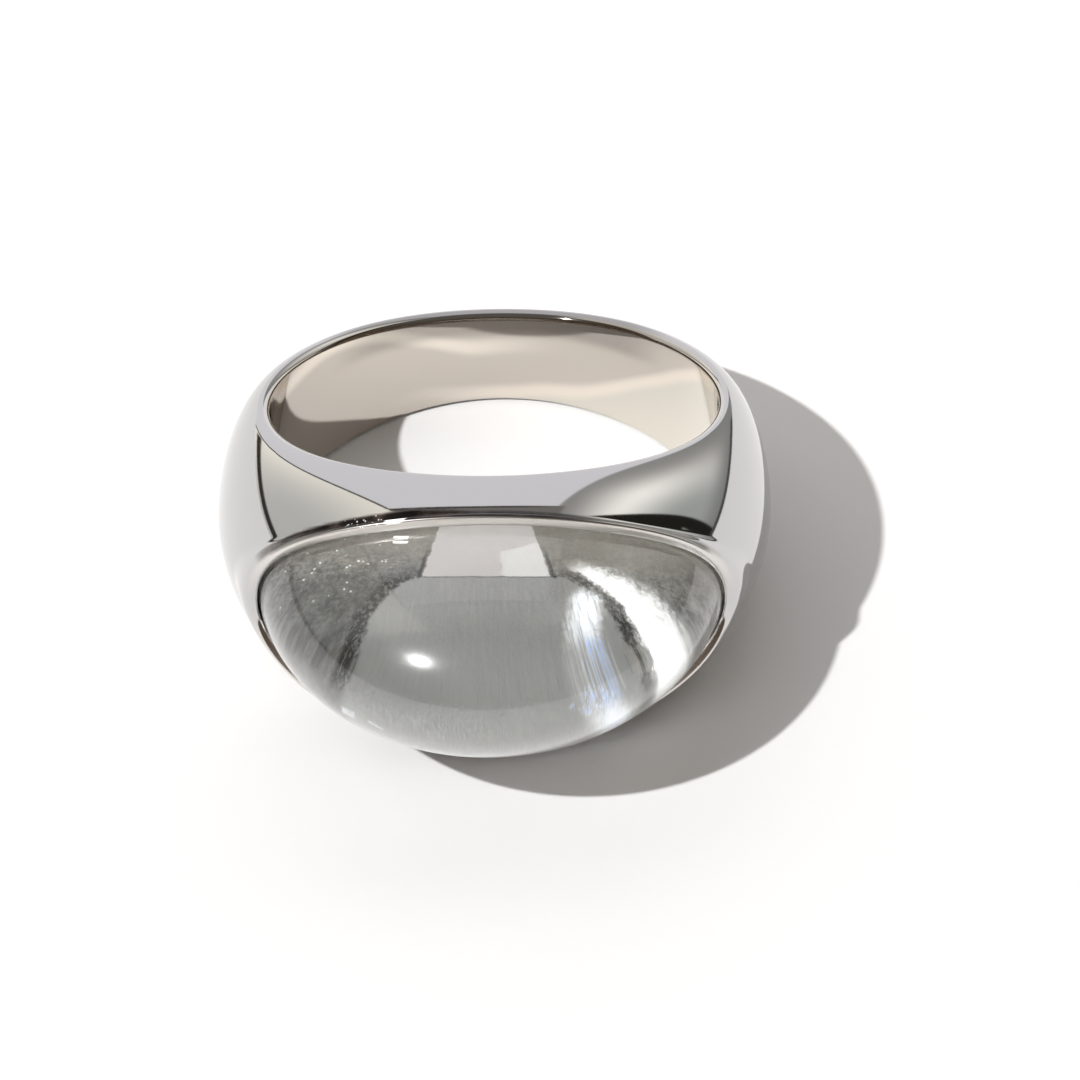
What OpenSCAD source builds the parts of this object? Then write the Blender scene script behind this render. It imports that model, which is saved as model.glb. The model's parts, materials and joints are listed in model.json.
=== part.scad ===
// Dome ring: a polished band that widens and thickens into a domed head, whose raised oval lip holds a
// tall clear cabochon. The ring lies on its side, as it comes to rest on a table.
// Millimetres. +Z is up, the head faces -Y, and the origin is the middle of the foot of the box around it.

/* [Finger hole] */
// Diameter of the finger hole
finger_d = 17.3; // [16.8:0.1:18]
// Radius that rounds both rims of the finger hole
rim_r = 0.3; // [0.2:0.05:0.4]

/* [Band] */
// Half width of the band at the middle of the head
head_half_w = 5.5; // [5.3:0.05:6]
// Half width of the band at the back
back_half_w = 2.0; // [1.8:0.05:2.2]
// Thickness that the head's dome would have without the stone
head_thick = 4.7; // [4.4:0.05:5]
// Thickness of the band at the back
back_thick = 1.4; // [1.2:0.05:1.6]
// Roundness of the band across its width, where 2 is an ellipse
side_power = 1.8; // [1.7:0.05:2]
// Roundness of the band's crown, where 2 is an ellipse
crown_power = 1.9; // [1.8:0.05:2]

/* [Stone] */
// Length of the stone round the finger
stone_l = 18.0; // [17.6:0.1:18.2]
// Width of the stone along the finger
stone_w = 10.2; // [9.8:0.1:10.4]
// Depth of the middle of the stone's ellipsoid below the top of the finger hole
stone_sink = 2.05; // [1.85:0.05:2.25]
// Rise of the stone's top above the middle of its ellipsoid
stone_rise = 10.7; // [10.3:0.1:11]
// Radius of the seat's curve under the stone
seat_r = 20; // [18:1:24]
// Height of the stone's underside above the finger hole at the middle of the head
seat_wall = 0.7; // [0.6:0.05:0.85]
// Gap all round the stone
gap = 0.05; // [0.04:0.01:0.08]

/* [Lip] */
// Width of the lip's flat-topped crest beside the stone
lip_w = 0.5; // [0.42:0.02:0.56]
// Height of the round at each side of the crest
lip_h = 0.14; // [0.1:0.01:0.18]
// Rise of the crest above the line where dome and stone meet
lip_rise = 0.05; // [0:0.01:0.1]
// Distance from the stone at which the hollow beside the crest has run out into the dome
lip_foot = 0.56; // [0.5:0.01:0.7]
// Further distance over which the lip runs out gently into the band at the ends of the oval
lip_run = 1.8; // [1.4:0.1:2.2]
// Share of its width that the crest loses towards the ends of the oval
lip_taper = 0.45; // [0.3:0.05:0.6]

/* [Smoothness] */
// Points along each upright edge of the head's patch
side_points = 22; // [16:2:24]
// Points along each long edge of the head's patch
long_points = 30; // [24:2:32]
// Sections round the back of the band
back_points = 44; // [36:2:48]

/* [Hidden] */

bore_r = finger_d / 2;
crown_r = bore_r + rim_r;
// Distances from the finger's axis to the middle of the stone's ellipsoid and to the seat's crown
stone_mid = bore_r - stone_sink;
seat_top = bore_r + seat_wall;
// Angle from the middle of the head to each side of the patch that carries the stone
head_edge = 70;
silver = [0.83, 0.83, 0.82];
crystal = [0.84, 0.88, 0.9];

// Half width and thickness from the head (first) to the back (last), a station every 30 degrees.
// Column 1: share of the way from the back's half width to the head's. Column 2: the same for thickness.
HALF = 0;
THICK = 1;
STATIONS = [
    [1.0, 1.0],
    [0.9, 0.91],
    [0.643, 0.515],
    [0.4, 0.136],
    [0.214, 0.03],
    [0.071, 0],
    [0, 0]
];
LAST = len(STATIONS) - 1;

// Smooth cosine series through the stations
function end_share(i) = i == 0 || i == LAST ? 0.5 : 1;
function sum(list, i = 0) = i < len(list) ? list[i] + sum(list, i + 1) : 0;
function wave(col, k) = end_share(k) * 2 / LAST *
    sum([for (i = [0:LAST]) end_share(i) * STATIONS[i][col] * cos(k * i * 180 / LAST)]);
HALF_WAVES = [for (k = [0:LAST]) wave(HALF, k)];
THICK_WAVES = [for (k = [0:LAST]) wave(THICK, k)];
function share(waves, a) = sum([for (k = [0:LAST]) waves[k] * cos(k * a)]);
function half_w(a) = back_half_w + (head_half_w - back_half_w) * share(HALF_WAVES, a);
function thick(a) = back_thick + (head_thick - back_thick) * share(THICK_WAVES, a);

// A point of the band's dome, where a is the angle from the head and b, from -90 to 90, goes across it
function dome(a, b) =
    let (
        z = half_w(a) * sign(b) * pow(abs(sin(b)), 2 / side_power),
        r = crown_r + (thick(a) - rim_r) * pow(abs(cos(b)), 2 / crown_power)
    ) [r * sin(a), -r * cos(a), z];

// Half axes of the pocket, which is the stone's ellipsoid grown by the gap on every side
POCKET = [stone_l / 2 + gap, stone_rise + gap, stone_w / 2 + gap];
function from_mid(p) = p + [0, stone_mid, 0];
function in_pocket(p) =
    let (q = from_mid(p)) norm([q.x / POCKET.x, q.y / POCKET.y, q.z / POCKET.z]) < 1;
// The dome's point at share f of the way to the edge point [a, b]
function on_dome(edge, f) = dome(f * edge.x, f * edge.y);
// Share of the way at which the dome comes out of the pocket
function way_out(edge, low = 0, high = 1, steps = 22) =
    let (mid = (low + high) / 2)
    steps == 0 ? mid
    : in_pocket(on_dome(edge, mid)) ? way_out(edge, mid, high, steps - 1)
    : way_out(edge, low, mid, steps - 1);
function unit(v) = v / norm(v);

// The head's patch is bounded by an edge in [a, b], walked once round
EDGE = concat(
    [for (i = [0:side_points - 1]) [head_edge, -90 + 180 * i / side_points]],
    [for (i = [0:long_points - 1]) [head_edge - 2 * head_edge * i / long_points, 90]],
    [for (i = [0:side_points - 1]) [-head_edge, 90 - 180 * i / side_points]],
    [for (i = [0:long_points - 1]) [-head_edge + 2 * head_edge * i / long_points, -90]]
);
N = len(EDGE);

// Lip: a flat-topped round crest beside the stone, then a hollow curve that runs out into the dome. On the
// long sides of the oval the hollow is a tight seam, and at its ends a gentle slope.
CREST_STEPS = 6;
HOLLOW_STEPS = 4;
// Squareness of the crest's round, where 2 is an ellipse
crest_power = 3;
// Part of the crest's half turn that is left out at the ends of the oval
crest_open = 40;
// Length by which the hollow starts straight down from the crest on the long sides
hollow_drop = 0.1;
// Share of the foot's distance at which the hollow's last control point lies on the dome
root_share = 0.7;
// Shares of the way at which the dome comes out of the pocket, where the lip starts
OUT = [for (e = EDGE) way_out(e)];
STARTS = [for (j = [0:N - 1]) on_dome(EDGE[j], OUT[j])];
// Directions away from the stone, and along its surface towards its top
AWAY = [for (p = STARTS)
    let (q = from_mid(p)) unit([q.x / POCKET.x ^ 2, q.y / POCKET.y ^ 2, q.z / POCKET.z ^ 2])];
TOP = [0, -1, 0];
UP = [for (n = AWAY) unit(TOP - (TOP * n) * n)];
// How far each column is towards the ends of the oval, from 0 on its long sides to 1
RUN = [for (n = AWAY) (1 - n.z ^ 2) ^ 2];
function reach(j) = lip_foot + lip_run * RUN[j];
// Share of the way at which the dome is w from the start of the lip in column j
function way_past(j, w, low, high = 1, steps = 22) =
    let (mid = (low + high) / 2)
    steps == 0 ? mid
    : norm(on_dome(EDGE[j], mid) - STARTS[j]) < w ? way_past(j, w, mid, high, steps - 1)
    : way_past(j, w, low, mid, steps - 1);
FOOT_SHARES = [for (j = [0:N - 1]) way_past(j, reach(j), OUT[j])];
// Points of the dome at the hollow's last control point and at its end
ROOTS = [for (j = [0:N - 1]) on_dome(EDGE[j], way_past(j, root_share * reach(j), OUT[j]))];
FEET = [for (j = [0:N - 1]) on_dome(EDGE[j], FOOT_SHARES[j])];
function squared(x) = sign(x) * pow(abs(x), 2 / crest_power);
// A point of the crest in column j, with a turn from 0 beside the stone to 180 on the outside
function crest_point(j, turn) =
    STARTS[j] + AWAY[j] * lip_w * (1 - lip_taper * RUN[j]) / 2 * (1 - squared(cos(turn)))
        + UP[j] * (lip_rise - lip_h * (1 - squared(sin(turn))));
CREST = [for (i = [0:CREST_STEPS])
    [for (j = [0:N - 1]) crest_point(j, (180 - crest_open * RUN[j]) * i / CREST_STEPS)]];
// A point of the hollow in column j, with t from 0 at the crest to 1 at its foot
function hollow_point(j, t) =
    let (
        side = CREST[CREST_STEPS][j],
        below = side + unit(AWAY[j] * RUN[j] - UP[j]) * (hollow_drop + lip_run * RUN[j] / 3)
    )
    (1 - t) ^ 3 * side + 3 * (1 - t) ^ 2 * t * below + 3 * (1 - t) * t ^ 2 * ROOTS[j] + t ^ 3 * FEET[j];
HOLLOW = [for (i = [1:HOLLOW_STEPS]) [for (j = [0:N - 1]) hollow_point(j, i / HOLLOW_STEPS)]];

// Pocket: its wall follows the stone down to a seat that curves round the finger
WALL_STEPS = 3;
SEAT_STEPS = 5;
seat_axis = seat_top - seat_r;
function seat_depth(x) = seat_axis + sqrt((seat_r - gap) ^ 2 - x ^ 2);
function wall_point(turn, depth) =
    let (k = sqrt(1 - ((depth - stone_mid) / POCKET.y) ^ 2))
    [POCKET.x * k * cos(turn), -depth, POCKET.z * k * sin(turn)];
function wall_turn(p) = atan2(p.z / POCKET.z, p.x / POCKET.x);
// Depth at which the wall meets the seat
function seat_meet(turn, depth, steps = 12) =
    steps == 0 ? depth : seat_meet(turn, seat_depth(wall_point(turn, depth).x), steps - 1);
WALL_FEET = [for (p = CREST[0]) let (t = wall_turn(p)) wall_point(t, seat_meet(t, seat_top))];
WALL = [for (i = [WALL_STEPS - 1:-1:1])
    [for (j = [0:N - 1])
        let (top = CREST[0][j], f = i / WALL_STEPS)
        wall_point(wall_turn(top), -top.y * (1 - f) - WALL_FEET[j].y * f)]];
SEAT = [for (i = [1:SEAT_STEPS])
    [for (p = WALL_FEET) let (f = i / SEAT_STEPS) [p.x * f, -seat_depth(p.x * f), p.z * f]]];

// The dome from the lip's foot to the patch's edge, in rings that widen as they go
DOME_STEPS = 8;
DOME = [for (i = [1:DOME_STEPS])
    [for (j = [0:N - 1])
        on_dome(EDGE[j], FOOT_SHARES[j] + (1 - FOOT_SHARES[j]) * pow(i / DOME_STEPS, 1.2))]];

HEAD_RINGS = concat(SEAT, WALL, CREST, HOLLOW, DOME);
RINGS = len(HEAD_RINGS);
seat_middle = [0, -seat_depth(0), 0];

// The rest of the band: columns from one side of the patch round the back to the other
function back_angle(c) = head_edge + (360 - 2 * head_edge) * c / back_points;
BACK = [for (c = [1:back_points - 1])
    [for (r = [0:side_points]) dome(back_angle(c), -90 + 180 * r / side_points)]];
EDGE_START = (RINGS - 1) * N;
BACK_START = RINGS * N;
ROWS = side_points + 1;
// Index of the point in column c and row r, which the patch's edge gives at both ends
function back_index(c, r) =
    c == 0 ? EDGE_START + r
    : c == back_points ? EDGE_START + 2 * side_points + long_points - r
    : BACK_START + (c - 1) * ROWS + r;

// Both rims, walked once round: first along the patch, then round the back
function rim_angle(i) = i <= long_points ? -head_edge + 2 * head_edge * i / long_points
    : back_angle(i - long_points);
RIM = long_points + back_points;
function low_index(i) = i < long_points ? EDGE_START + 2 * side_points + long_points + i
    : back_index(i - long_points, 0);
function high_index(i) = i <= long_points ? EDGE_START + side_points + long_points - i
    : back_index(i - long_points, side_points);
// Stations of the rim's quarter round, and one inside the hole, whose wall a true cylinder cuts
ROUND = [25, 50, 75];
function reverse(list) = [for (i = [len(list) - 1:-1:0]) list[i]];
INNER_IN = 0.3;
INNER_DOWN = 1.0;
function rim_point(i, turn, side) =
    let (a = rim_angle(i), r = crown_r - rim_r * sin(turn), z = half_w(a) - rim_r + rim_r * cos(turn))
    [r * sin(a), -r * cos(a), side * z];
function inner_point(i, side) =
    let (a = rim_angle(i), r = bore_r - INNER_IN, z = half_w(a) - rim_r - INNER_DOWN)
    [r * sin(a), -r * cos(a), side * z];
RIM_RINGS = concat(
    [for (t = ROUND) [for (i = [0:RIM - 1]) rim_point(i, t, 1)]],
    [[for (i = [0:RIM - 1]) inner_point(i, 1)], [for (i = [0:RIM - 1]) inner_point(i, -1)]],
    [for (t = reverse(ROUND)) [for (i = [0:RIM - 1]) rim_point(i, t, -1)]]
);
RIM_START = BACK_START + (back_points - 1) * ROWS;
function rim_index(ring, i) = RIM_START + ring * RIM + i % RIM;

function flat(lists) = [for (l = lists) for (p = l) p];
MIDDLE = RIM_START + len(RIM_RINGS) * RIM;
POINTS = concat(flat(HEAD_RINGS), flat(BACK), flat(RIM_RINGS), [seat_middle]);

// Each face is two triangles of a four-cornered cell, wound the same way
function cell(p, q, r, s) = [[p, q, r], [p, r, s]];
FACES = concat(
    [for (j = [0:N - 1]) [MIDDLE, (j + 1) % N, j]],
    flat([for (k = [0:RINGS - 2]) for (j = [0:N - 1])
        cell(k * N + j, k * N + (j + 1) % N, (k + 1) * N + (j + 1) % N, (k + 1) * N + j)]),
    flat([for (c = [0:back_points - 1]) for (r = [0:side_points - 1])
        cell(back_index(c, r), back_index(c, r + 1), back_index(c + 1, r + 1), back_index(c + 1, r))]),
    flat([for (i = [0:RIM - 1])
        cell(high_index(i), rim_index(0, i), rim_index(0, i + 1), high_index((i + 1) % RIM))]),
    flat([for (k = [0:len(RIM_RINGS) - 2]) for (i = [0:RIM - 1])
        cell(rim_index(k, i), rim_index(k + 1, i), rim_index(k + 1, i + 1), rim_index(k, i + 1))]),
    flat([for (i = [0:RIM - 1])
        cell(rim_index(len(RIM_RINGS) - 1, i), low_index(i), low_index((i + 1) % RIM),
            rim_index(len(RIM_RINGS) - 1, i + 1))])
);

// How the ring lies: tipped so that the round of the lower rim at the head and the back touch the table
pivot = [0, -crown_r, rim_r - head_half_w];
LOWER_BACK = [for (p = POINTS) if (p.y > 0 && p.z < 0) p];
function tip_of(p) =
    let (d = p - pivot) atan2(d.z, d.y) + asin(rim_r / norm([d.y, d.z]));
rest_tip = min([for (p = LOWER_BACK) tip_of(p)]);
function tipped(p) =
    [p.x, p.y * cos(rest_tip) + p.z * sin(rest_tip), p.z * cos(rest_tip) - p.y * sin(rest_tip)];
TIPPED = [for (p = POINTS) tipped(p)];
// The stone's top is the foremost point, and the band's crown at the back the hindmost
stone_reach = norm([stone_rise * cos(rest_tip), stone_w / 2 * sin(rest_tip)]);
front_y = -stone_mid * cos(rest_tip) - stone_reach;
back_y = max([for (p = TIPPED) p.y]);
foot_z = min([for (p = TIPPED) p.z]);

module lying() {
    translate([0, -(front_y + back_y) / 2, -foot_z])
        rotate([-rest_tip, 0, 0])
            children();
}

module band() {
    color(silver)
        lying()
            difference() {
                polyhedron(points = POINTS, faces = FACES, convexity = 6);
                cylinder(r = bore_r, h = 4 * head_half_w, center = true, $fn = 120);
            }
}

module stone() {
    color(crystal)
        lying()
            difference() {
                translate([0, -stone_mid, 0])
                    scale([stone_l / 2, stone_rise, stone_w / 2])
                        sphere(r = 1, $fn = 96);
                translate([0, -seat_axis, 0])
                    cylinder(r = seat_r, h = 2 * stone_w, center = true, $fn = 200);
            }
}

band();
stone();
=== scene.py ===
"""Dome ring on a pale floor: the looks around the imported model.

Lengths are in millimetres in the ring's own frame, where the finger's axis is z and the head faces -y.
to_row() lays them down in the row frame, in metres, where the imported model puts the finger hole.
"""

import json
import math

import bpy
import numpy as np
from mathutils import Matrix, Vector


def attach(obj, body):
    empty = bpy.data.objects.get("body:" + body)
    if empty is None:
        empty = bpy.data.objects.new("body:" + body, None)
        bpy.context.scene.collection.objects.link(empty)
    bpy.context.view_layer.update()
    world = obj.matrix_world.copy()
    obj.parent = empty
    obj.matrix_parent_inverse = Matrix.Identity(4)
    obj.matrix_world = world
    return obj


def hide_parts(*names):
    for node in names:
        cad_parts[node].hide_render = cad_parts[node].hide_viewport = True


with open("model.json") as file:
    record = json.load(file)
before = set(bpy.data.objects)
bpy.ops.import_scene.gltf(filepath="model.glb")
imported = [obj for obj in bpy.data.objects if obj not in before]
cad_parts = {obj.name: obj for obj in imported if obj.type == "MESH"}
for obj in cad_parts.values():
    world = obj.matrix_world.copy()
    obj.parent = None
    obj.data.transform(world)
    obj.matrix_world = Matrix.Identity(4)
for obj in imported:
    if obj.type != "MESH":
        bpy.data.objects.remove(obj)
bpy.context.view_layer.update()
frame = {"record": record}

MM = 0.001

# Finger hole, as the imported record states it
bore = frame["record"]["mounts"][0]
BORE_R = bore["dims"]["r_mm"]
BORE_AT = Vector(bore["pos_m"])
TIP = math.atan2(bore["axis"][1], bore["axis"][2])
LAY = np.array([
    [1, 0, 0],
    [0, math.cos(TIP), math.sin(TIP)],
    [0, -math.sin(TIP), math.cos(TIP)],
])

# Band
RIM_R = 0.3
CROWN_R = BORE_R + RIM_R
HEAD_HALF_W, BACK_HALF_W = 5.5, 2.0
HEAD_THICK, BACK_THICK = 4.7, 1.4
SIDE_POWER, CROWN_POWER = 1.8, 1.9
HEAD_EDGE = 70

# Stone and its seat
STONE_AXES = np.array([9.0, 10.7, 5.1])
STONE_MID = np.array([0, 2.05 - BORE_R, 0])
SEAT_R = 20.0
SEAT_TOP = BORE_R + 0.7
GAP = 0.05

# Lip
LIP_W = 0.5
LIP_H = 0.14
LIP_RISE = 0.05
LIP_POWER = 3
LIP_DROP = 0.1
LIP_ROOT_SHARE = 0.7
LIP_FOOT = 0.56
LIP_RUN = 1.8
LIP_OPEN = 40
LIP_TAPER = 0.45

# Share of the way from the back's size to the head's, every 30 degrees from the head to the back
HALF_SHARES = [1.0, 0.9, 0.643, 0.4, 0.214, 0.071, 0]
THICK_SHARES = [1.0, 0.91, 0.515, 0.136, 0.03, 0, 0]

# Power by which the dome's steps crowd towards the lip
CROWDING = 1.2

# Rounds of the searches for a place on the dome and for the seat's edge
HALVINGS = 40
SETTLING = 30

# Edges that turn more than this are shaded sharp
SHARP_DEG = 40


def to_row(points):
    """Points of the ring's own frame, in the row frame and in metres."""
    return np.asarray(points) @ LAY.T * MM + np.array(BORE_AT)


def turned(v):
    """A direction of the ring's own frame, in the row frame."""
    return Vector(LAY @ np.asarray(v))


def waves(shares):
    """Weights of the smooth cosine series through the stations."""
    last = len(shares) - 1
    ends = np.ones(last + 1)
    ends[[0, last]] = 0.5
    turn = np.outer(range(last + 1), range(last + 1)) * math.pi / last
    return ends * 2 / last * (np.cos(turn) @ (ends * shares))


HALF_WAVES = waves(HALF_SHARES)
THICK_WAVES = waves(THICK_SHARES)


def share(weights, a):
    a = np.asarray(a, float)
    return np.cos(a[..., None] * np.arange(len(weights))) @ weights


def half_w(a):
    return BACK_HALF_W + (HEAD_HALF_W - BACK_HALF_W) * share(HALF_WAVES, a)


def thick(a):
    return BACK_THICK + (HEAD_THICK - BACK_THICK) * share(THICK_WAVES, a)


def round_the_axis(r, a, z):
    return np.stack([r * np.sin(a), -r * np.cos(a), z], -1)


def dome(a, b):
    """The dome's point at angle a from the head and b across the band, both in radians."""
    z = half_w(a) * np.sign(b) * np.abs(np.sin(b)) ** (2 / SIDE_POWER)
    r = CROWN_R + (thick(a) - RIM_R) * np.clip(np.cos(b), 0, 1) ** (2 / CROWN_POWER)
    return round_the_axis(r, a, z)


def outside(p, grow):
    """Under 0 inside the stone's ellipsoid grown by grow, over 0 outside."""
    return np.linalg.norm((p - STONE_MID) / (STONE_AXES + grow), axis=-1) - 1


def on_dome(edge, f):
    """The dome's points at share f of the way to each edge point."""
    return dome(f * edge[:, 0], f * edge[:, 1])


def way_while(edge, holds):
    """Largest share of the way to each edge point up to which holds(the dome's points there) is true."""
    low, high = np.zeros(len(edge)), np.ones(len(edge))
    for _ in range(HALVINGS):
        mid = (low + high) / 2
        yes = holds(on_dome(edge, mid))
        low, high = np.where(yes, mid, low), np.where(yes, high, mid)
    return high


def unit(v):
    return v / np.linalg.norm(v, axis=-1, keepdims=True)


def dot(u, v):
    return np.sum(u * v, -1, keepdims=True)


def ramp(v, low, high):
    """0 at low and 1 at high, straight between them and level beyond."""
    return np.clip((v - low) / (high - low), 0, 1)


def patch_edge(side, long):
    """Boundary of the head's patch as [a, b] in radians, walked once round."""
    s, t = np.arange(side) / side, np.arange(long) / long
    up = np.stack([np.full(side, HEAD_EDGE), -90 + 180 * s], -1)
    left = np.stack([HEAD_EDGE - 2 * HEAD_EDGE * t, np.full(long, 90)], -1)
    return np.radians(np.concatenate([up, left, up * [-1, -1], left * [-1, -1]]))


def seat_depth(x, gap=GAP):
    return SEAT_TOP - SEAT_R + np.sqrt((SEAT_R - gap) ** 2 - x**2)


def wall_point(turn, depth, gap=GAP):
    """Point of the ellipsoid, grown by gap, at that turn and depth from the finger's axis."""
    s = STONE_AXES + gap
    k = np.sqrt(1 - ((-depth - STONE_MID[1]) / s[1]) ** 2)
    return np.stack([s[0] * k * np.cos(turn), -depth, s[2] * k * np.sin(turn)], -1)


def seat_meet(turn, gap=GAP):
    """Depth at which the ellipsoid, grown by gap, meets the seat."""
    depth = np.full(len(turn), SEAT_TOP)
    for _ in range(SETTLING):
        depth = seat_depth(wall_point(turn, depth, gap)[:, 0], gap)
    return depth


def head_rings(side, long):
    """Rings of the head's patch: seat, pocket wall, lip crest, lip hollow and dome, from the middle out.

    The second result has each point's levels of the seam's dirt and of the crest's satin and painted sheen.
    """
    seat_steps, wall_steps, crest_steps, hollow_steps, dome_steps = 20, 10, 16, 14, 36
    edge = patch_edge(side, long)
    start = on_dome(edge, way_while(edge, lambda p: outside(p, GAP) < 0))
    away = unit((start - STONE_MID) / (STONE_AXES + GAP) ** 2)
    top = np.array([0.0, -1.0, 0.0])
    up = unit(top - dot(away, top) * away)

    def way(w):
        """Share of the way at which the dome is w from the start of the lip."""
        return way_while(edge, lambda p: (outside(p, GAP) < 0) | (np.linalg.norm(p - start, axis=-1) < w))

    # How far each column is towards the oval's ends, where the lip runs out gently into the band
    run = (1 - away[:, 2:] ** 2) ** 2
    last = math.pi - math.radians(LIP_OPEN) * run
    wide = LIP_W * (1 - LIP_TAPER * run)

    def crest_point(t):
        """Point of the crest's flat-topped round, t from 0 beside the stone to pi on the outside."""
        across, high = np.cos(t), np.abs(np.sin(t)) ** (2 / LIP_POWER)
        across = np.sign(across) * np.abs(across) ** (2 / LIP_POWER)
        return start + away * wide / 2 * (1 - across) + up * (LIP_RISE - LIP_H * (1 - high))

    crest = [crest_point(last * f) for f in np.linspace(0, 1, crest_steps + 1)]
    onward = unit(away * run - up)
    below = crest[-1] + onward * (LIP_DROP + run * LIP_RUN / 3)
    reach = LIP_FOOT + LIP_RUN * run[:, 0]
    out = way(reach)
    root = on_dome(edge, way(LIP_ROOT_SHARE * reach))
    foot = on_dome(edge, out)
    hollow = [
        (1 - t) ** 3 * crest[-1] + 3 * (1 - t) ** 2 * t * below + 3 * (1 - t) * t**2 * root + t**3 * foot
        for t in np.linspace(0, 1, hollow_steps + 1)[1:]
    ]
    s = STONE_AXES + GAP
    turn = np.arctan2(crest[0][:, 2] / s[2], crest[0][:, 0] / s[0])
    feet = wall_point(turn, seat_meet(turn))
    wall = [
        wall_point(turn, -crest[0][:, 1] * (1 - f) - feet[:, 1] * f)
        for f in np.linspace(1, 0, wall_steps + 1)[1:-1]
    ]
    seat = [
        np.stack([feet[:, 0] * f, -seat_depth(feet[:, 0] * f), feet[:, 2] * f], -1)
        for f in np.linspace(0, 1, seat_steps + 1)[1:]
    ]
    rest = [
        dome(*(edge * (out + (1 - out) * f**CROWDING)[:, None]).T)
        for f in np.linspace(0, 1, dome_steps + 1)[1:]
    ]
    rings = np.array(seat + wall + crest + hollow + rest)

    # The crest's satin and painted sheen, and the seam's dirt, go by the distance from the lip's start.
    # Both fade towards the oval's ends, and the dirt lies broader on the left.
    far = np.linalg.norm(rings - start, axis=-1)
    far[: len(seat + wall)] = 0
    beside = 1 - run[:, 0]
    on_crest = ramp(far, 0, 0.03) * ramp(far, LIP_W, LIP_W - 0.08) * beside
    dirt_end = LIP_FOOT + 0.08 + 0.24 * ramp(start[:, 0], -0.6, -2.6)
    in_seam = ramp(far, LIP_W - 0.1, LIP_W - 0.04) * ramp(far, dirt_end, dirt_end - 0.12)
    in_seam *= ramp(beside, 0.4, 0.4 + 1 / 3)
    return rings, np.stack([in_seam, on_crest], -1)


def sheet(grid, closed):
    """Four-cornered faces between neighbouring rows of a grid of point numbers."""
    if closed:
        grid = np.concatenate([grid, grid[:, :1]], 1)
    quads = np.stack([grid[:-1, :-1], grid[:-1, 1:], grid[1:, 1:], grid[1:, :-1]], -1)
    return list(map(tuple, quads.reshape(-1, 4)))


def fan(middle, ring):
    """Three-cornered faces from one point to each pair of neighbours round a ring of point numbers."""
    return [(middle, after, one) for one, after in zip(ring, np.roll(ring, -1))]


def band_mesh():
    """The band's points and faces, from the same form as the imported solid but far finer."""
    side, long, back = 60, 100, 160
    rim_steps, bore_steps = 8, 14
    rings, levels = head_rings(side, long)
    points = [np.array([[0, -seat_depth(0.0), 0]]), *rings]
    index = np.arange(rings[..., 0].size).reshape(rings.shape[:2]) + 1
    faces = fan(0, index[0]) + sheet(index, closed=True)

    def add(block):
        """Adds a block of points and gives their numbers."""
        first = sum(len(p) for p in points)
        points.append(block.reshape(-1, 3))
        return np.arange(len(points[-1])).reshape(block.shape[:-1]) + first

    # Round the back, between the two upright edges of the patch
    a = np.radians(HEAD_EDGE + (360 - 2 * HEAD_EDGE) * np.arange(back + 1) / back)
    b = np.radians(np.linspace(-90, 90, side + 1))
    inner = add(dome(*np.meshgrid(a[1:-1], b, indexing="ij")))
    right = index[-1, : side + 1]
    left = index[-1, side + long : 2 * side + long + 1][::-1]
    grid = np.concatenate([right[None], inner, left[None]])
    faces += sheet(grid, closed=False)

    # Both rims and the bore between them, walked once round from the left edge of the patch
    high = np.concatenate([index[-1, side : side + long + 1][::-1], grid[1:-1, -1]])
    low_patch = np.append(index[-1, 2 * side + long :], index[-1, 0])
    low = np.concatenate([low_patch, grid[1:-1, 0]])
    head = np.radians(np.linspace(-HEAD_EDGE, HEAD_EDGE, long + 1))
    rim_a = np.concatenate([head, a[1:-1]])
    half = half_w(rim_a) - RIM_R
    rows = [high[None]]
    turns = np.linspace(0, math.pi / 2, rim_steps + 1)[1:]
    profile = [(CROWN_R - RIM_R * math.sin(t), half + RIM_R * math.cos(t)) for t in turns]
    profile += [(BORE_R, half * s) for s in np.linspace(1, -1, bore_steps + 1)[1:]]
    profile += [(CROWN_R - RIM_R * math.sin(t), -half - RIM_R * math.cos(t)) for t in turns[-2::-1]]
    for r, z in profile:
        rows.append(add(round_the_axis(np.full(len(rim_a), r), rim_a, z))[None])
    rows.append(low[None])
    faces += sheet(np.concatenate(rows)[:, ::-1], closed=True)
    points = np.concatenate(points)
    seam, crest = np.zeros((2, len(points)))
    seam[1 : levels[..., 0].size + 1] = levels[..., 0].ravel()
    crest[1 : levels[..., 1].size + 1] = levels[..., 1].ravel()
    return points, [face[::-1] for face in faces], seam, crest


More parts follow.
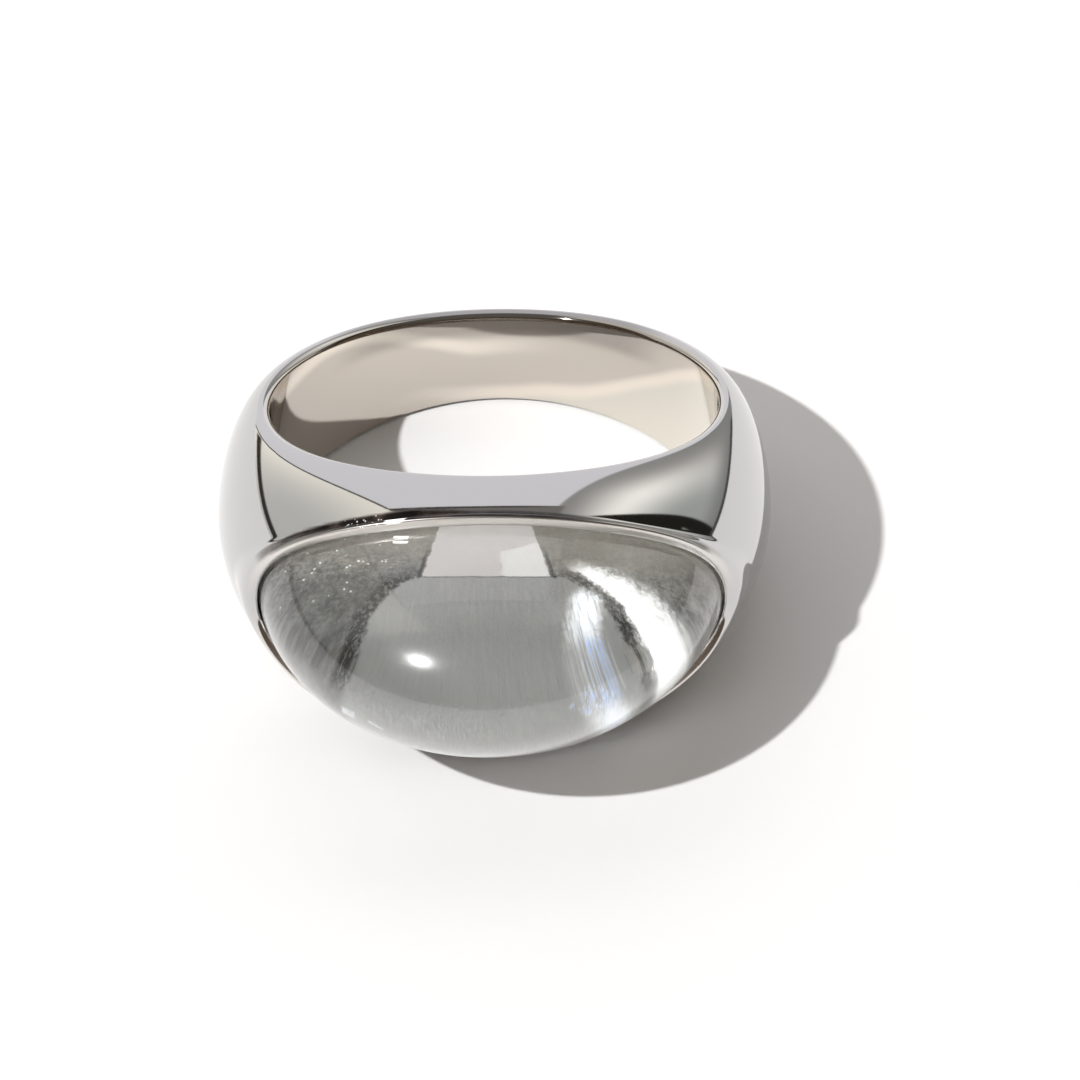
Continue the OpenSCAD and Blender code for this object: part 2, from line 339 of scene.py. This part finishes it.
def stone_mesh():
    """The stone's points and faces, an ellipsoid cut by the seat's curve, and which faces lie on the seat."""
    around, up_steps, under_steps = 240, 100, 24
    turn = np.linspace(0, 2 * math.pi, around, endpoint=False)
    top = STONE_AXES[1] - STONE_MID[1]
    low = seat_meet(turn, 0.0)
    rise = np.arccos(np.clip((low + STONE_MID[1]) / STONE_AXES[1], -1, 1))
    rings = []
    for f in np.linspace(1, 0, up_steps + 1)[:-1]:
        angle = rise * f
        rings.append(np.stack([
            STONE_AXES[0] * np.sin(angle) * np.cos(turn),
            STONE_MID[1] - STONE_AXES[1] * np.cos(angle),
            STONE_AXES[2] * np.sin(angle) * np.sin(turn),
        ], -1))
    edge = rings[0]
    under = [
        np.stack([edge[:, 0] * f, -seat_depth(edge[:, 0] * f, 0.0), edge[:, 2] * f], -1)
        for f in np.linspace(0, 1, under_steps + 1)[1:-1]
    ]
    rings = under + rings
    points = [np.array([[0, -seat_depth(0.0, 0.0), 0]])] + rings + [np.array([[0, -top, 0]])]
    index = np.arange(len(rings) * around).reshape(len(rings), around) + 1
    last = len(rings) * around + 1
    faces = fan(0, index[0]) + sheet(index, closed=True) + fan(last, index[-1][::-1])
    # The first fan and the rows of faces below the edge come first
    on_seat = [i < (1 + len(under)) * around for i in range(len(faces))]
    return np.concatenate(points), faces, on_seat


def smooth_object(name, points, faces):
    """A smooth-shaded object from points of the ring's own frame."""
    mesh = bpy.data.meshes.new(name)
    mesh.from_pydata(to_row(points).tolist(), [], faces)
    mesh.validate()
    mesh.polygons.foreach_set("use_smooth", [True] * len(mesh.polygons))
    mesh.set_sharp_from_angle(angle=math.radians(SHARP_DEG))
    mesh.update()
    # Where each point lies in the ring's own frame, for the materials
    place = mesh.attributes.new("place", "FLOAT_VECTOR", "POINT")
    place.data.foreach_set("vector", np.asarray(points, float).ravel())
    obj = bpy.data.objects.new(name, mesh)
    bpy.context.scene.collection.objects.link(obj)
    return obj


class Flow:
    """A number or vector in a node tree, which grows nodes as it is reckoned with."""

    def __init__(self, tree, socket):
        self.tree, self.socket = tree, socket

    def node(self, kind, *values, **settings):
        made = self.tree.nodes.new(kind)
        for name, value in settings.items():
            setattr(made, name, value)
        for socket, value in zip(made.inputs, values):
            feed(self.tree, socket, value)
        return Flow(self.tree, made.outputs[0])

    def math(self, operation, *values):
        return self.node("ShaderNodeMath", *values, operation=operation)

    def __add__(self, other):
        return self.math("ADD", self, other)

    def __sub__(self, other):
        return self.math("SUBTRACT", self, other)

    def __rsub__(self, other):
        return self.math("SUBTRACT", other, self)

    def __mul__(self, other):
        return self.math("MULTIPLY", self, other)

    __radd__, __rmul__ = __add__, __mul__

    def __truediv__(self, other):
        return self.math("DIVIDE", self, other)

    def __abs__(self):
        return self.math("ABSOLUTE", self)

    def hypot(self, other):
        return self.math("SQRT", self * self + other * other)

    def rise(self, low, high):
        """0 at low and 1 at high, smooth between them and level beyond."""
        return self.node("ShaderNodeMapRange", self, low, high, interpolation_type="SMOOTHSTEP")

    def near(self, reach, full):
        """1 within full of nought, and 0 beyond reach."""
        return abs(self).rise(reach, full)

    def larger(self, other):
        return self.math("MAXIMUM", self, other)

    def parts(self):
        made = self.tree.nodes.new("ShaderNodeSeparateXYZ")
        feed(self.tree, made.inputs[0], self)
        return [Flow(self.tree, socket) for socket in made.outputs]

    def blend(self, first, second):
        """Colour first where this is 0, and second where it is 1."""
        made = self.tree.nodes.new("ShaderNodeMix")
        made.data_type = "RGBA"
        # Inputs 6 and 7 and output 2 of this node are its colours
        feed(self.tree, made.inputs["Factor"], self)
        feed(self.tree, made.inputs[6], first)
        feed(self.tree, made.inputs[7], second)
        return Flow(self.tree, made.outputs[2])


def feed(tree, socket, value):
    """Sets a node's input to a number or colour, or links it."""
    if isinstance(value, Flow):
        tree.links.new(value.socket, socket)
    elif isinstance(value, tuple) and len(value) == 3 and socket.type == "RGBA":
        socket.default_value = (*value, 1)
    else:
        socket.default_value = value


def linear(level):
    """Linear value of an 8-bit display level."""
    v = level / 255
    return v / 12.92 if v <= 0.04045 else ((v + 0.055) / 1.055) ** 2.4


def shown(*levels):
    """Linear colour of 8-bit display levels."""
    return tuple(linear(v) for v in levels)


SILVER = (0.58, 0.575, 0.57)


class Finish:
    """A new material, with what its nodes are made from."""

    def __init__(self, name):
        self.mat = bpy.data.materials.new(name)
        self.mat.use_nodes = True
        # The glowing patches only show and aren't sampled as lamps, which keeps the render quick
        self.mat.cycles.emission_sampling = "NONE"
        self.tree = self.mat.node_tree
        self.shader = self.tree.nodes["Principled BSDF"]
        self.place = self.attribute("place", out="Vector")

    def attribute(self, name, out="Fac"):
        made = self.tree.nodes.new("ShaderNodeAttribute")
        made.attribute_name = name
        return Flow(self.tree, made.outputs[out])

    def set(self, **values):
        for name, value in values.items():
            feed(self.tree, self.shader.inputs[name.replace("_", " ")], value)

    def joined(self, x, y, z):
        return self.place.node("ShaderNodeCombineXYZ", x, y, z)

    def noise(self, where, scale, detail=2.0, rough=0.5):
        made = self.tree.nodes.new("ShaderNodeTexNoise")
        feed(self.tree, made.inputs["Vector"], where)
        made.inputs["Scale"].default_value = scale
        made.inputs["Detail"].default_value = detail
        made.inputs["Roughness"].default_value = rough
        return Flow(self.tree, made.outputs["Fac"])

    def specks(self, where, scale, size):
        """1 in small round specks, one in each cell of a random pattern, and 0 between."""
        made = self.tree.nodes.new("ShaderNodeTexVoronoi")
        feed(self.tree, made.inputs["Vector"], where)
        made.inputs["Scale"].default_value = scale
        return Flow(self.tree, made.outputs["Distance"]).rise(size, size * 0.5)

    def bump(self, height, strength, distance_mm):
        made = self.tree.nodes.new("ShaderNodeBump")
        made.inputs["Strength"].default_value = strength
        made.inputs["Distance"].default_value = distance_mm * MM
        feed(self.tree, made.inputs["Height"], height)
        self.tree.links.new(made.outputs["Normal"], self.shader.inputs["Normal"])


def silver():
    """Polished silver: fine polishing marks, painted light and shade in the bore, a satin crest round the stone
    with a painted sheen, and dirt in the seam outside it, with painted glints.
    """
    new = Finish("polished_silver")
    x, y, z = new.place.parts()
    crest = new.attribute("crest")
    seam = new.attribute("seam") * (x.rise(4.6, 2.2) * 0.7 + 0.3)
    cloud = new.noise(new.place, 0.9, detail=2.0)
    grain = new.noise(new.place, 9.0, detail=3.0, rough=0.7)
    drift = (new.noise(new.place, 0.22, detail=1.0) - 0.5) * 0.9

    # The bore keeps a faint warm tone
    r = x.hypot(y)
    in_bore = r.rise(BORE_R + 0.2, BORE_R)
    colour = in_bore.blend(SILVER, (0.575, 0.525, 0.475))

    # The bore gets painted reflections, brighter along a curve on each side, and painted shade under the rim at
    # the back
    right = x - 2.0
    upper = z - x.rise(-1.0, -6.5) * 1.7 - 0.55 + drift
    lower = z + 1.45 - right.larger(0.0) * right * 0.105 + drift
    behind = y.rise(0.5, 3.5) * in_bore
    # A paler field low in the bore: painted reflection
    pale = lower.rise(0.1, -0.2) * x.rise(-4.0, 2.0) * behind
    colour = pale.blend(colour, (0.67, 0.64, 0.58))
    # Painted highlights along the two curves
    painted_highlight_bands = upper.near(0.5, 0.05) * x.rise(3.0, -2.0) + lower.near(0.5, 0.05) * x.rise(-5.0, 0.5)
    colour = (painted_highlight_bands * behind * 0.9).blend(colour, (0.82, 0.755, 0.67))
    # Painted shade under the rim at the back
    painted_shade_under_rim = y.rise(5.5, 7.5) * (z + drift).rise(0.75, 1.35) * r.rise(BORE_R + 0.8, BORE_R + 0.5)
    colour = (painted_shade_under_rim * 0.45).blend(colour, (0.16, 0.15, 0.135))

    # Dirt and flux stay brown to black in the seam
    dirt = seam * (cloud + grain * 0.5).rise(0.45, 0.85)
    colour = (seam * 0.95).blend(colour, (0.085, 0.06, 0.048))
    colour = (dirt * 0.95).blend(colour, (0.012, 0.01, 0.009))
    # The crest is satin, and its lighter colour is a painted sheen
    colour = crest.blend(colour, (0.87, 0.83, 0.79))
    roughness = 0.035 + cloud * 0.03 + seam * 0.2 + crest * 0.3
    new.set(Base_Color=colour, Metallic=1.0, Roughness=roughness)
    new.bump(grain * (0.15 + seam * 2.0), strength=0.25, distance_mm=0.004)

    # Painted glints glow white in the seam where bare metal would flash in the sun: one long one and a few
    # specks beside it
    painted_glint = ((x + 3.4) / 0.45).hypot((y + 10.76) / 0.24).rise(1.15, 0.75)
    specks = new.specks(new.place, 7.0, 0.3) * (x + 4.6).near(0.85, 0.65)
    painted_flashes = (painted_glint * 1.65 + specks * 0.77) * seam * z.rise(2.0, 3.0)
    new.set(Emission_Color=shown(255, 253, 248), Emission_Strength=painted_flashes)
    return new.mat


def crystal():
    """Clear crystal with a worn skin: a soft sheen, hairline scratches, and haze low on the dome."""
    new = Finish("clear_crystal")
    x, y, z = new.place.parts()
    hairs = new.noise(new.joined(x * 12.0, y * 1.5, z * 1.5), 1.0, detail=3.0, rough=0.75)
    wear = new.noise(new.place, 2.6, detail=4.0, rough=0.75)
    low = (z + (wear - 0.5) * 2.5).rise(0.7, -0.6) * y.rise(-8.2, -10.5)
    haze = low * (hairs.rise(0.35, 0.7) * 0.16 + 0.02)
    scratches = wear.rise(0.62, 0.7) * hairs.rise(0.5, 0.6) * 0.12
    new.set(Base_Color=(0.975, 0.98, 0.975), IOR=1.54)
    new.set(Transmission_Weight=1.0 - (haze + scratches), Roughness=low * 0.16)
    new.set(Coat_Weight=1.0, Coat_Roughness=0.2, Coat_IOR=1.4)

    # Glints of light caught under the skin: a bluish bundle on the right, two small pale ones on the left
    rays = new.noise(new.joined(x * 10.0, y * 2.0, z * 2.5), 1.0, detail=2.0, rough=0.7)
    blue = (abs(x - 3.95) * 0.8 + abs(z - 0.15) + wear * 0.6).rise(1.15, 0.85) * rays.rise(0.5, 0.6)
    wide = (x + 5.25).near(0.3, 0.2) * (z + 1.12).near(0.3, 0.2)
    thin = (x + 4.2).near(0.32, 0.24) * (z + 1.2 + (x + 4.2) * 0.4).near(0.12, 0.07)
    pale = (wide + thin) * rays.rise(0.5, 0.6).rise(-0.6, 0.6)
    new.set(Emission_Color=blue.blend(shown(232, 236, 246), shown(128, 162, 226)))
    new.set(Emission_Strength=blue * 0.4 + pale * 0.45)
    return new.mat


def backing():
    """The cast floor of the pocket, as it shows through the stone: pale plates, painted shade round them and
    low on the left, pits, sunlight.
    """
    new = Finish("cast_backing")
    x, y, z = new.place.parts()
    cloud = new.noise(new.place, 1.6, detail=4.0, rough=0.75)
    grain = new.noise(new.place, 7.0, detail=3.0, rough=0.75)
    fibres = new.noise(new.joined(x * 11.0, y, z * 0.7), 1.0, detail=3.0, rough=0.7)
    ragged = (new.noise(new.place, 2.6, detail=4.0, rough=0.8) - 0.5) * 0.45
    wave = ragged * 0.35

    # Mottled metal, with painted shade low on the left, and warmer high up
    mottle = (cloud * 0.5 + grain * 0.5).rise(0.38, 0.64)
    colour = mottle.blend(shown(78, 79, 77), shown(196, 195, 189))
    painted_shade_low_left = (z + ragged).rise(0.9, -0.8) * x.rise(-1.0, -2.0) * 0.6
    colour = painted_shade_low_left.blend(colour, shown(104, 105, 103))
    warm = (z + x * 0.1 + ragged).rise(-0.9, 1.4) * 0.75
    colour = warm.blend(colour, shown(196, 191, 178))

    # An arched plate, and a paler one behind it, apart by a step
    arch = (x / 3.5).hypot((z + 2.4) / 2.75)
    plate = (z + wave).rise(-0.31, -0.36) * (arch + wave).rise(1.02, 0.98)
    smooth = (fibres * 0.6 + grain * 0.4).rise(0.3, 0.7).blend(shown(189, 191, 190), shown(205, 206, 203))
    smooth = (z.rise(-1.6, -2.8) * 0.55).blend(smooth, shown(146, 147, 144))
    colour = plate.blend(colour, smooth)
    across = abs(x + 0.1) + 0.13 * z + ragged * 0.6
    tongue = (z + wave).rise(-0.36, -0.31) * across.rise(1.98, 1.92)
    pale = (x + ragged).rise(0.3, 0.5) * (z - x * 0.45 + ragged * 0.5).rise(0.85, 0.7)
    colour = tongue.blend(colour, pale.blend(shown(240, 234, 231), shown(255, 254, 250)))

    # Painted shade, dark and crumbly, along the edges round both plates
    painted_shade_arc = (arch + wave - 1.06).near(0.1, 0.03) * (z + wave).rise(-0.1, -0.5)
    painted_shade_arc = painted_shade_arc * (grain.rise(0.56, 0.5) * 0.85 + 0.15) * (x.rise(2.5, -1.0) * 0.4 + 0.55)
    # Painted shade beside the paler plate and along the step between the plates
    side = (across - 2.06).near(0.08, 0.03) * z.rise(-0.5, -0.3) * z.rise(1.6, 0.2) * 0.8
    edge = (z + wave + 0.34).near(0.05, 0.02) * abs(x).rise(2.2, 2.0) * 0.55
    colour = painted_shade_arc.larger(side + edge).blend(colour, shown(52, 52, 52))
    new.set(Base_Color=colour, Roughness=0.6, Metallic=0.0)
    new.bump(grain + cloud, strength=0.4, distance_mm=0.06)

    # Sunlight that the stone gathers: two white patches on the right with a bluish one between, and on the left
    # sparkling pits and the bars of a window
    outer = (arch + ragged * 0.5).rise(1.10, 1.17)
    outer = outer * (arch + ragged * 0.9 + grain * 0.5 + z * 0.12).rise(1.74, 1.4)
    outer = outer * (z + ragged * 1.5).rise(0.75, -0.1) * x.rise(2.2, 3.2)
    inner = (x - 3.2 - z * 0.3 + ragged * 1.2).near(0.6, 0.15) * (z + ragged * 2.0).rise(-0.8, -1.4)
    inner = inner * (fibres.rise(0.3, 0.6) * 0.8 + 0.2) * (z.rise(-2.9, -2.0) * 0.85 + 0.15)
    blue = (x - 2.7 + ragged).near(0.5, 0.2) * z.rise(-2.3, -2.6) * fibres.rise(0.46, 0.6)
    pits = new.specks(new.place, 4.2, 0.24) * cloud.rise(0.5, 0.6) * x.rise(-2.9, -3.6) * z.rise(-1.4, -0.8)
    bars = (x + 3.0 + ragged * 0.5).near(0.28, 0.24) * (abs(z - 1.72) - 0.16).near(0.08, 0.06)
    light = outer * 1.15 + inner * 1.3 + blue * 0.5 + (pits + bars) * 1.2
    # The plates glow faintly as well, the paler one most: painted light
    light = light + plate * 0.02 + tongue * (pale * 0.12 + 0.13)
    tint = inner.blend(shown(252, 253, 252), shown(232, 242, 255))
    new.set(Emission_Color=blue.blend(tint, shown(120, 165, 225)), Emission_Strength=light)
    return new.mat


points, faces, seam, crest = band_mesh()
band = smooth_object("ring_band", points, faces)
for name, level in (("seam", seam), ("crest", crest)):
    band.data.attributes.new(name, "FLOAT", "POINT").data.foreach_set("value", level)
band.data.materials.append(silver())
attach(band, "root")
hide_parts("band")

points, faces, on_seat = stone_mesh()
stone = smooth_object("ring_stone", points, faces)
stone.data.materials.append(crystal())
stone.data.materials.append(backing())
stone.data.polygons.foreach_set("material_index", [int(under) for under in on_seat])
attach(stone, "root")
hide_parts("stone")

# Floor
FLOOR_HALF = 1.0
floor_mesh = bpy.data.meshes.new("floor")
corners = [(-FLOOR_HALF, -FLOOR_HALF, 0), (FLOOR_HALF, -FLOOR_HALF, 0),
           (FLOOR_HALF, FLOOR_HALF, 0), (-FLOOR_HALF, FLOOR_HALF, 0)]
floor_mesh.from_pydata(corners, [], [(0, 1, 2, 3)])
floor = bpy.data.objects.new("floor", floor_mesh)
bpy.context.scene.collection.objects.link(floor)
paper = Finish("pale_floor")
paper.set(Base_Color=(0.9, 0.9, 0.9), Roughness=0.9)
floor_mesh.materials.append(paper.mat)


def seen(*levels):
    """Colour of a part of the room that the silver shows at these 8-bit display levels when it mirrors it."""
    return tuple(linear(v) / c for v, c in zip(levels, SILVER))


def studio(tree):
    """A studio laid out by direction, so that the polished metal has something to mirror."""
    direction = Flow(tree, tree.nodes.new("ShaderNodeTexCoord").outputs["Generated"])
    x, y, z = direction.parts()

    # Left and right of the ceiling panel
    left = (0 - x).rise(0.35, 0.95).blend(seen(226, 220, 208), seen(172, 171, 168))
    bright = (x - 0.28 * z).rise(0.05, 0.45) * (y - 0.5).rise(0.5, -0.1)
    right = bright.blend(seen(132, 130, 127), seen(238, 235, 228))
    right = x.rise(0.55, 0.9).blend(right, seen(148, 150, 147))
    right = z.rise(0.25, 0.02).blend(right, seen(120, 120, 118))
    room = (x + 0.1 * y).rise(-0.02, 0.02).blend(left, right)

    # Black things low on the right, with a row of pale dashes
    black = (0.28 * x - 0.08 * z - y).rise(-0.015, 0.015) * (x - 0.2 * z).rise(0.0, 0.1)
    room = black.blend(room, seen(30, 28, 25))
    dashes = (y - 0.095 * x).rise(0.0, 0.01) * (0.135 * x - y).rise(0.0, 0.01) * z.rise(0.34, 0.31)
    room = (dashes * (x - 0.4).rise(0.0, 0.05)).blend(room, seen(110, 112, 106))

    # Dark line above the horizon, broad at the back left and thin on the right
    line = z.rise(0.012, 0.02) * z.rise(0.08, 0.06) * (0 - x - 0.45 * y).rise(0, 0.05)
    room = line.blend(room, seen(45, 42, 38))
    room = (z.rise(0.035, 0.02) * x.rise(0.3, 0.4)).blend(room, seen(62, 62, 62))

    # Ceiling panel behind the ring
    to_left = x + 0.42 * y + 0.45 * z
    to_right = 0.12 * y + 0.28 * z - x
    near = y - 0.26 * z
    edge = to_left.rise(-0.022, -0.014) * to_left.rise(0.014, 0.006) * near.rise(-0.01, 0.0)
    room = edge.blend(room, seen(52, 48, 40))
    panel = near.rise(-0.003, 0.003) * to_left.rise(0.0, 0.008) * to_right.rise(-0.01, 0.01)
    room = panel.blend(room, seen(196, 194, 197))

    # Overhead: a grey field behind the panel's near edge, with a darker line along the edge
    over = near.rise(0.0, -0.006) * to_left.rise(-0.03, 0.03) * (0.35 * z - x).rise(-0.01, 0.02)
    room = over.blend(room, seen(103, 100, 97))
    shade = near.rise(0.0, -0.004) * near.rise(-0.045, -0.025) * to_left.rise(-0.02, 0.02)
    room = (shade * to_right * 6).blend(room, seen(58, 56, 53))

    # The room on the camera's side
    camera_side = z.rise(0.3, 0.9).blend(seen(72, 60, 50), seen(95, 92, 88))
    return y.rise(0.0, -0.06).blend(room, camera_side)


BACKDROP = (0.93, 0.93, 0.93)
world = bpy.data.worlds.new("studio")
world.use_nodes = True
bpy.context.scene.world = world
tree = world.node_tree
room = studio(tree)
is_camera = Flow(tree, tree.nodes.new("ShaderNodeLightPath").outputs["Is Camera Ray"])
feed(tree, tree.nodes["Background"].inputs["Color"], is_camera.blend(room, BACKDROP))

# Sun from the front left
SUN_FROM = turned((-0.538, -0.527, 0.658))
SUN_STRENGTH = 3.0
SUN_WIDTH_DEG = 1.5
sun_data = bpy.data.lights.new("sun", "SUN")
sun_data.energy = SUN_STRENGTH
sun_data.angle = math.radians(SUN_WIDTH_DEG)
sun = bpy.data.objects.new("sun", sun_data)
sun.rotation_mode = "QUATERNION"
sun.rotation_quaternion = SUN_FROM.to_track_quat("Z", "Y")
bpy.context.scene.collection.objects.link(sun)

# Camera at the photo's angle: directions are in the ring's own frame, and places in the photo's pixels
CAMERA_AZ, CAMERA_EL, CAMERA_ROLL = (math.radians(v) for v in (2.01, 32.04, 1.50))
CAMERA_AWAY = 400
PHOTO_SIDE = 1080
PIXELS_PER_MM = 25.86
AXIS_AT_PIXEL = (495.8, 474.6)
SENSOR = 36

back = np.array([
    math.sin(CAMERA_AZ) * math.cos(CAMERA_EL),
    -math.cos(CAMERA_AZ) * math.cos(CAMERA_EL),
    math.sin(CAMERA_EL),
])
level = np.array([math.cos(CAMERA_AZ), math.sin(CAMERA_AZ), 0])
upright = np.cross(back, level)
right = level * math.cos(CAMERA_ROLL) - upright * math.sin(CAMERA_ROLL)
up = level * math.sin(CAMERA_ROLL) + upright * math.cos(CAMERA_ROLL)
camera_data = bpy.data.cameras.new("camera")
camera_data.sensor_width = SENSOR
camera_data.lens = SENSOR * PIXELS_PER_MM * CAMERA_AWAY / PHOTO_SIDE
camera_data.shift_x = 0.5 - AXIS_AT_PIXEL[0] / PHOTO_SIDE
camera_data.shift_y = AXIS_AT_PIXEL[1] / PHOTO_SIDE - 0.5
camera_data.clip_start = 0.01
camera_data.clip_end = 10
camera = bpy.data.objects.new("camera", camera_data)
axes = Matrix([turned(right), turned(up), turned(back)]).transposed()
camera.matrix_world = Matrix.Translation(BORE_AT + turned(back) * CAMERA_AWAY * MM) @ axes.to_4x4()
bpy.context.scene.collection.objects.link(camera)
bpy.context.scene.camera = camera

bpy.context.scene.view_settings.view_transform = "Standard"
